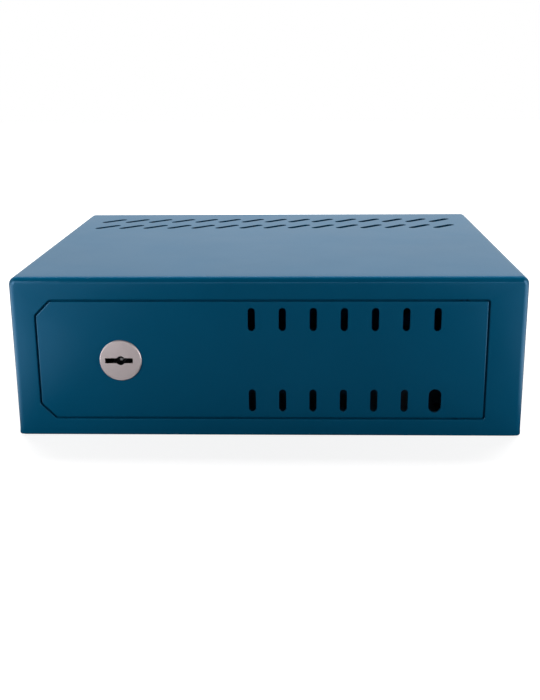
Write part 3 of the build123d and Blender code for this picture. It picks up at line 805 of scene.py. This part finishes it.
def weld_bead(mesh_data, start, end, settings):
    """A rippled weld bead along a straight seam, thinner towards its ends."""
    length = (end - start).length
    count = round(length / settings.bead_ripple * BEAD_RINGS)
    up = Vector((0, 1, 0))
    across = (end - start).normalized().cross(up)
    rings = []
    for step in range(count + 1):
        share = step / count
        ripple = abs(sin(pi * share * length / settings.bead_ripple))
        taper = min(1.0, BEAD_END + BEAD_SWELL * min(share, 1 - share))
        radius = settings.bead_radius * taper * (1 - BEAD_WAVE + BEAD_WAVE * ripple)
        center = start.lerp(end, share)
        ring = []
        for corner in range(BEAD_CORNERS):
            angle = 2 * pi * corner / BEAD_CORNERS
            spoke = cos(angle) * across + sin(angle) * up
            ring.append(mesh_data.verts.new(center + radius * spoke))
        rings.append(ring)
    join_rings(mesh_data, rings)


class LOCKBOX_OT_welds(bpy.types.Operator):
    """Weld the hinge barrels to the rear face of the door"""

    bl_idname = "lockbox.welds"
    bl_label = "Weld the hinge barrels"

    def execute(self, context):
        settings = context.scene.lockbox_shape
        for side in ("upper", "lower"):
            low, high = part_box(f"hinge_barrel_{side}")
            depth = low.y + settings.bead_radius * BEAD_RISE
            mesh_data = bmesh.new()
            for place in (low.x + settings.bead_inset, high.x - settings.bead_inset):
                start = Vector((place, depth, low.z + settings.bead_margin))
                end = Vector((place, depth, high.z - settings.bead_margin))
                weld_bead(mesh_data, start, end, settings)
            bead = built_piece(f"hinge_weld_{side}", mesh_data, "door", SHADED_INSIDE_PAINT)
        return {"FINISHED"}


class LOCKBOX_OT_rosette(bpy.types.Operator):
    """Spin the satin plate round the keyhole"""

    bl_idname = "lockbox.rosette"
    bl_label = "Finish the rosette"

    def execute(self, context):
        settings = context.scene.lockbox_metal
        front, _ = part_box("lock_rosette")
        material = spun_material(
            "Spun satin plate", settings.rosette, roughness=0.52, pitch=settings.ring_pitch,
            center=KEY_AXIS, face_depth=front.y - KEY_AXIS.y, keyhole_reach=0.014,
        )
        coat_nodes(("lock_rosette",), material)
        return {"FINISHED"}


class LOCKBOX_OT_lock_case(bpy.types.Operator):
    """Zinc plate the lock case, its cover and its fasteners"""

    bl_idname = "lockbox.lock_case"
    bl_label = "Finish the lock case"

    def execute(self, context):
        settings = context.scene.lockbox_metal
        plate = brushed_material(
            ZINC_PLATE, settings.zinc, roughness=0.36, grain=settings.grain, stretch=(60, 1, 1)
        )
        coat_nodes(
            ("lock_case", "lock_cover", "bolt_carriage", "lock_posts", "lock_studs", "lock_nuts",
             "lock_cover_screws"),
            plate,
        )
        return {"FINISHED"}


# Threads: steps to a turn, half the width of the foot as a share of the pitch, depth of the foot
# inside the stud, and the part of the length, one in this many, over which the crest rises.
THREAD_STEPS = 32
THREAD_SHARE = 0.35
THREAD_ROOT = 0.0002
THREAD_FADE = 8


def stud_thread(mesh_data, start, length, settings):
    """A thread round a stud along Y, which rises from the stud and sinks into it at its ends."""
    pitch = settings.thread_pitch
    radius = settings.stud_radius
    turns = length / pitch
    steps = round(turns * THREAD_STEPS)
    half = pitch * THREAD_SHARE
    rings = []
    for step in range(steps + 1):
        angle = 2 * pi * turns * step / steps
        outward = Vector((cos(angle), 0, sin(angle)))
        fade = min(1.0, THREAD_FADE * min(step, steps - step) / steps)
        crest = radius + settings.thread_height * fade
        root = radius - THREAD_ROOT
        ring = []
        for reach, shift in ((root, 0), (crest, half / 2), (crest, half), (root, half * 2)):
            along = Vector((0, pitch * angle / (2 * pi) + shift, 0))
            ring.append(mesh_data.verts.new(start + along + outward * reach))
        rings.append(ring)
    join_rings(mesh_data, rings)


class LOCKBOX_OT_threads(bpy.types.Operator):
    """Roll the threads on the studs that hold the lock case"""

    bl_idname = "lockbox.threads"
    bl_label = "Thread the studs"

    def execute(self, context):
        settings = context.scene.lockbox_shape
        low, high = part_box("lock_studs")
        nut_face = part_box("lock_nuts")[1].y
        radius = settings.stud_radius
        length = high.y - nut_face - settings.thread_pitch / 2
        mesh_data = bmesh.new()
        for x in (low.x + radius, high.x - radius):
            for z in (low.z + radius, high.z - radius):
                stud_thread(mesh_data, Vector((x, nut_face, z)), length, settings)
        bmesh.ops.recalc_face_normals(mesh_data, faces=mesh_data.faces)
        threads = built_piece("lock_stud_threads", mesh_data, "door", ZINC_PLATE)
        return {"FINISHED"}


class LOCKBOX_OT_levers(bpy.types.Operator):
    """Brush the brass levers and blue their springs"""

    bl_idname = "lockbox.levers"
    bl_label = "Finish the levers"

    def execute(self, context):
        settings = context.scene.lockbox_metal
        brass = brushed_material(
            "Brushed brass", settings.brass, roughness=0.30, grain=settings.grain,
            stretch=(20, 1, 1),
        )
        levers = sorted(name for name in NODES if name.startswith("lever_") and name[-1].isdigit())
        coat_nodes((*levers, "lever_spacer"), brass)
        spring = brushed_material(
            "Blued spring", settings.spring, roughness=0.32, grain=settings.grain,
            stretch=(1, 20, 1),
        )
        coat_nodes(("lever_springs", "hinge_grub_screw"), spring)
        return {"FINISHED"}


class LOCKBOX_OT_springs(bpy.types.Operator):
    """Put a copy of the leaf springs in place of the CAD node, with smooth round surfaces"""

    bl_idname = "lockbox.springs"
    bl_label = "Bend the leaf springs"

    def execute(self, context):
        source = NODES["lever_springs"]
        springs = bpy.data.objects.new("lever_springs_bending", source.data.copy())
        context.scene.collection.objects.link(springs)
        shade_round(springs)
        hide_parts("lever_springs")
        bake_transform(springs)
        return {"FINISHED"}


class LOCKBOX_OT_bolts(bpy.types.Operator):
    """Turn the bolts, the pins and the rotor"""

    bl_idname = "lockbox.bolts"
    bl_label = "Finish the bolts and pins"

    def execute(self, context):
        settings = context.scene.lockbox_metal
        bolts = turned_material(
            "Turned bolt steel", settings.steel, roughness=0.26, pitch=0.0005, axis="X"
        )
        coat_nodes(("lock_bolt_upper", "lock_bolt_lower"), bolts)
        pins = turned_material(
            "Turned pin steel", settings.steel, roughness=0.28, pitch=0.0004, axis="Z"
        )
        coat_nodes(("hinge_pin_upper", "hinge_pin_lower"), pins)
        lock = turned_material(
            "Turned lock steel", settings.steel, roughness=0.30, pitch=0.0004, axis="Y"
        )
        coat_nodes(("lever_pivot", "bolt_stump", "key_pin"), lock)
        # The rotor is painted near black as shade for the inside of the keyhole.
        dark = turned_material(
            "Blackened lock steel", settings.rotor_shade_color, roughness=0.36, pitch=0.0004, axis="Y"
        )
        coat_nodes(("key_rotor",), dark)
        return {"FINISHED"}


class LOCKBOX_OT_grommets(bpy.types.Operator):
    """Mould the rubber grommets of the cable entries and the nylon washers of the hinge"""

    bl_idname = "lockbox.grommets"
    bl_label = "Finish the grommets and washers"

    def execute(self, context):
        settings = context.scene.lockbox_metal
        rubber = moulded_material("Black rubber", settings.rubber, roughness=0.62)
        coat_nodes(("cable_grommet_left", "cable_grommet_right"), rubber)
        nylon = moulded_material("Navy nylon", settings.nylon, roughness=0.62)
        coat_nodes(("hinge_washer_upper", "hinge_washer_lower"), nylon)
        return {"FINISHED"}


# Directions in the gloss, as parts of a vector of length 1: where the front passes into the
# sides, where it passes into the rear, and where the dimmer left of the rear ends.
FRONT_TO_SIDES = (0.35, 0.75)
FRONT_TO_REAR = (0.20, 0.70)
LEFT_TO_MIDDLE = (-0.25, -0.05)
# The left of the rear, as a share of its middle.
REAR_LEFT_SHARE = 0.89
# The bright band at the horizon: its height, and from where to where beside it the band fades.
BAND_HEIGHT = 0.06
BAND_EDGE = (0.03, 0.08)
# Bright patches on the floor: the point midway between them, their inner edge and their ends as
# distances from that point, and the share of the brightness beyond the ends.
PATCHES_MIDDLE = (0.02, -0.30)
PATCH_INNER_EDGE = (0.23, 0.42)
PATCH_END = (0.12, 0.32)
PATCH_REST = 0.2
# Multiples of half the box's width and depth: where the painted shadow under the box ends at the edge
# of its footprint, and where the shaded floor turns white.
FOOTPRINT_EDGE = (0.94, 0.98)
GLOW_REACH = (3.0, 8.0)
SHADOW_STRENGTH = 0.30
FLOOR_ROUGHNESS = 0.9
# Lamps: their places, the points that they face, and their widths and heights.
REAR_LAMP = (0, 1.1, 1.8)
LEFT_LAMP = (-0.46, -0.46, 0.20)
RIGHT_LAMP = (0.50, -0.40, 0.20)
BOX_MIDDLE = (0, 0, 0.07)
LEFT_CORNER = (-0.2, -0.17, 0.07)
RIGHT_CORNER = (0.2, -0.17, 0.07)
REAR_LAMP_SIZE = (2.4, 1.2)
FRONT_LAMP_SIZE = (0.3, 0.3)
# Width of the camera's sensor in millimetres.
SENSOR_WIDTH = 36


def add_area_lamp(name, place, target, size, power, in_gloss):
    """A soft rectangular lamp that faces target; in_gloss says whether gloss shows it."""
    lamp = bpy.data.lights.new(name, "AREA")
    lamp.shape = "RECTANGLE"
    lamp.size, lamp.size_y = size
    lamp.energy = power
    obj = bpy.data.objects.new(name, lamp)
    aim = (Vector(target) - Vector(place)).to_track_quat("-Z", "Y")
    obj.matrix_world = Matrix.Translation(place) @ aim.to_matrix().to_4x4()
    obj.visible_glossy = in_gloss
    bpy.context.scene.collection.objects.link(obj)


def show_plainly(tree, lit, plain, output):
    """Shows a plain shader to camera, gloss and glass, and the lit one to all other light."""
    path = tree.nodes.new("ShaderNodeLightPath")
    seen = path.outputs["Is Camera Ray"]
    for name in ("Is Glossy Ray", "Is Transmission Ray"):
        seen = math_node(tree, "MAXIMUM", seen, path.outputs[name])
    mix = tree.nodes.new("ShaderNodeMixShader")
    fill_inputs(tree, mix.inputs, (seen, lit, plain))
    tree.links.new(mix.outputs["Shader"], tree.nodes[output].inputs["Surface"])


def for_camera(tree, seen, otherwise):
    """One brightness for rays from the camera, another for all other rays."""
    mix = tree.nodes.new("ShaderNodeMix")
    camera = tree.nodes.new("ShaderNodeLightPath").outputs["Is Camera Ray"]
    slots = [mix.inputs[name] for name in ("Factor", "A", "B")]
    fill_inputs(tree, slots, (camera, otherwise, seen))
    return mix.outputs["Result"]


def studio_gloss(tree, settings):
    """Brightness that gloss shows, by direction: dim front, bright sides, soft rear."""
    direction = tree.nodes.new("ShaderNodeTexCoord").outputs["Generated"]
    to_right = coordinate(tree, direction, "X")
    sideways = math_node(tree, "ABSOLUTE", to_right)
    front_half = remap(
        tree, sideways, *FRONT_TO_SIDES, settings.gloss_front, settings.gloss_sides
    )
    from_band = distance_from(tree, coordinate(tree, direction, "Z"), BAND_HEIGHT)
    band = remap(tree, from_band, *BAND_EDGE, settings.gloss_horizon, 0.0)
    front_half = math_node(tree, "MAXIMUM", front_half, band)
    rear_left = REAR_LEFT_SHARE * settings.gloss_rear
    rear_half = remap(tree, to_right, *LEFT_TO_MIDDLE, rear_left, settings.gloss_rear)
    to_rear = coordinate(tree, direction, "Y")
    return remap(tree, to_rear, *FRONT_TO_REAR, front_half, rear_half)


def white_world(settings):
    """A white background, studio surroundings for gloss, and an even fill for matt surfaces."""
    world = bpy.data.worlds.new("Studio")
    world.use_nodes = True
    tree = world.node_tree
    fill = tree.nodes["Background"]
    fill.inputs["Color"].default_value = (1, 1, 1, 1)
    fill.inputs["Strength"].default_value = settings.fill
    white = tree.nodes.new("ShaderNodeBackground")
    white.inputs["Color"].default_value = (1, 1, 1, 1)
    brightness = for_camera(tree, 1.0, studio_gloss(tree, settings))
    tree.links.new(brightness, white.inputs["Strength"])
    show_plainly(tree, fill.outputs["Background"], white.outputs["Background"], "World Output")
    bpy.context.scene.world = world


def corner_patches(tree, where, settings):
    """Brightness of the floor in gloss: dim, with a bright patch off each front corner."""
    middle_x, middle_y = PATCHES_MIDDLE
    sideways = distance_from(tree, coordinate(tree, where, "X"), middle_x)
    lengthways = distance_from(tree, coordinate(tree, where, "Y"), middle_y)
    across = remap(
        tree, sideways, *PATCH_INNER_EDGE, settings.floor_gloss, settings.gloss_patch
    )
    along = remap(tree, lengthways, *PATCH_END, 1.0, PATCH_REST)
    return math_node(tree, "MULTIPLY", across, along)


def floor_material(settings):
    """A white floor that keeps a pale shadow, and has a painted shadow where the box stands on it."""
    material = new_material("Studio floor", [settings.floor_bounce] * 3, 0.0, FLOOR_ROUGHNESS)
    tree = material.node_tree
    where = object_coordinates(tree)
    across = math_node(tree, "ABSOLUTE", coordinate(tree, where, "X"))
    along = math_node(tree, "ABSOLUTE", coordinate(tree, where, "Y"))
    beyond = math_node(
        tree, "MAXIMUM",
        math_node(tree, "DIVIDE", across, CAD_BOUNDS[1][0]),
        math_node(tree, "DIVIDE", along, -CAD_BOUNDS[0][1]),
    )
    # The glow is taken away under the box's footprint: a painted shadow where the box stands.
    outside_painted_shadow = remap(tree, beyond, *FOOTPRINT_EDGE, 0.0, 1.0)
    to_camera = remap(tree, beyond, *GLOW_REACH, settings.floor_glow, 1.0)
    brightness = for_camera(tree, to_camera, corner_patches(tree, where, settings))
    glow = tree.nodes.new("ShaderNodeEmission")
    tree.links.new(math_node(tree, "MULTIPLY", brightness, outside_painted_shadow), glow.inputs["Strength"])
    shadow = tree.nodes.new("ShaderNodeBsdfDiffuse")
    tree.links.new(for_camera(tree, SHADOW_STRENGTH, 0.0), shadow.inputs["Color"])
    plain = tree.nodes.new("ShaderNodeAddShader")
    fill_inputs(tree, plain.inputs, (shadow.outputs["BSDF"], glow.outputs["Emission"]))
    lit = shader_of(tree).outputs["BSDF"]
    show_plainly(tree, lit, plain.outputs["Shader"], "Material Output")
    return material


class LOCKBOX_OT_stage(bpy.types.Operator):
    """Set the floor, the lamps, the background and the camera"""

    bl_idname = "lockbox.stage"
    bl_label = "Set the stage"

    def execute(self, context):
        settings = context.scene.lockbox_stage
        half = settings.floor_size / 2
        mesh = bpy.data.meshes.new("studio_floor")
        corners = [(-half, -half, 0), (half, -half, 0), (half, half, 0), (-half, half, 0)]
        mesh.from_pydata(corners, [], [(0, 1, 2, 3)])
        mesh.materials.append(floor_material(settings))
        floor = bpy.data.objects.new("studio_floor", mesh)
        context.scene.collection.objects.link(floor)
        white_world(settings)
        for name, place, target, size, power, in_gloss in (
            ("Rear softbox", REAR_LAMP, BOX_MIDDLE, REAR_LAMP_SIZE, settings.rear, False),
            ("Front left", LEFT_LAMP, LEFT_CORNER, FRONT_LAMP_SIZE, settings.left, True),
            ("Front right", RIGHT_LAMP, RIGHT_CORNER, FRONT_LAMP_SIZE, settings.right, True),
        ):
            add_area_lamp(name, place, target, size, power, in_gloss)
        camera = bpy.data.objects.new("Camera", bpy.data.cameras.new("Camera"))
        camera.data.lens = settings.lens
        camera.data.sensor_width = SENSOR_WIDTH
        camera.matrix_world = (
            Matrix.Translation(settings.camera_place)
            @ Matrix.Rotation(settings.camera_yaw, 4, "Z")
            @ Matrix.Rotation(pi / 2 - settings.camera_pitch, 4, "X")
            @ Matrix.Rotation(settings.camera_roll, 4, "Z")
        )
        context.scene.collection.objects.link(camera)
        context.scene.camera = camera
        context.scene.view_settings.view_transform = "Standard"
        return {"FINISHED"}


class LOCKBOX_PT_panel(bpy.types.Panel):
    """Lists the steps and their settings"""

    bl_idname = "LOCKBOX_PT_panel"
    bl_label = "Lock Box"
    bl_space_type = "VIEW_3D"
    bl_region_type = "UI"
    bl_category = "Lock Box"

    def draw(self, context):
        for step in STEPS:
            self.layout.operator(step.bl_idname)
        for name in SETTINGS:
            group = getattr(context.scene, name)
            box = self.layout.box()
            for key in group.bl_rna.properties.keys():
                if key not in ("rna_type", "name"):
                    box.prop(group, key)


SETTINGS = {
    "lockbox_paint": PaintSettings,
    "lockbox_metal": MetalSettings,
    "lockbox_shape": ShapeSettings,
    "lockbox_stage": StageSettings,
}
STEPS = (
    LOCKBOX_OT_paint,
    LOCKBOX_OT_shell,
    LOCKBOX_OT_front_frame,
    LOCKBOX_OT_lips,
    LOCKBOX_OT_welds,
    LOCKBOX_OT_rosette,
    LOCKBOX_OT_lock_case,
    LOCKBOX_OT_threads,
    LOCKBOX_OT_levers,
    LOCKBOX_OT_springs,
    LOCKBOX_OT_bolts,
    LOCKBOX_OT_grommets,
    LOCKBOX_OT_stage,
)


def register():
    for name, group in SETTINGS.items():
        bpy.utils.register_class(group)
        setattr(bpy.types.Scene, name, PointerProperty(type=group))
    for step in STEPS:
        bpy.utils.register_class(step)
    bpy.utils.register_class(LOCKBOX_PT_panel)


def unregister():
    bpy.utils.unregister_class(LOCKBOX_PT_panel)
    for step in reversed(STEPS):
        bpy.utils.unregister_class(step)
    for name, group in SETTINGS.items():
        delattr(bpy.types.Scene, name)
        bpy.utils.unregister_class(group)


def main():
    register()
    for step in STEPS:
        _, name = step.bl_idname.split(".")
        getattr(bpy.ops.lockbox, name)()


if __name__ == "__main__":
    main()
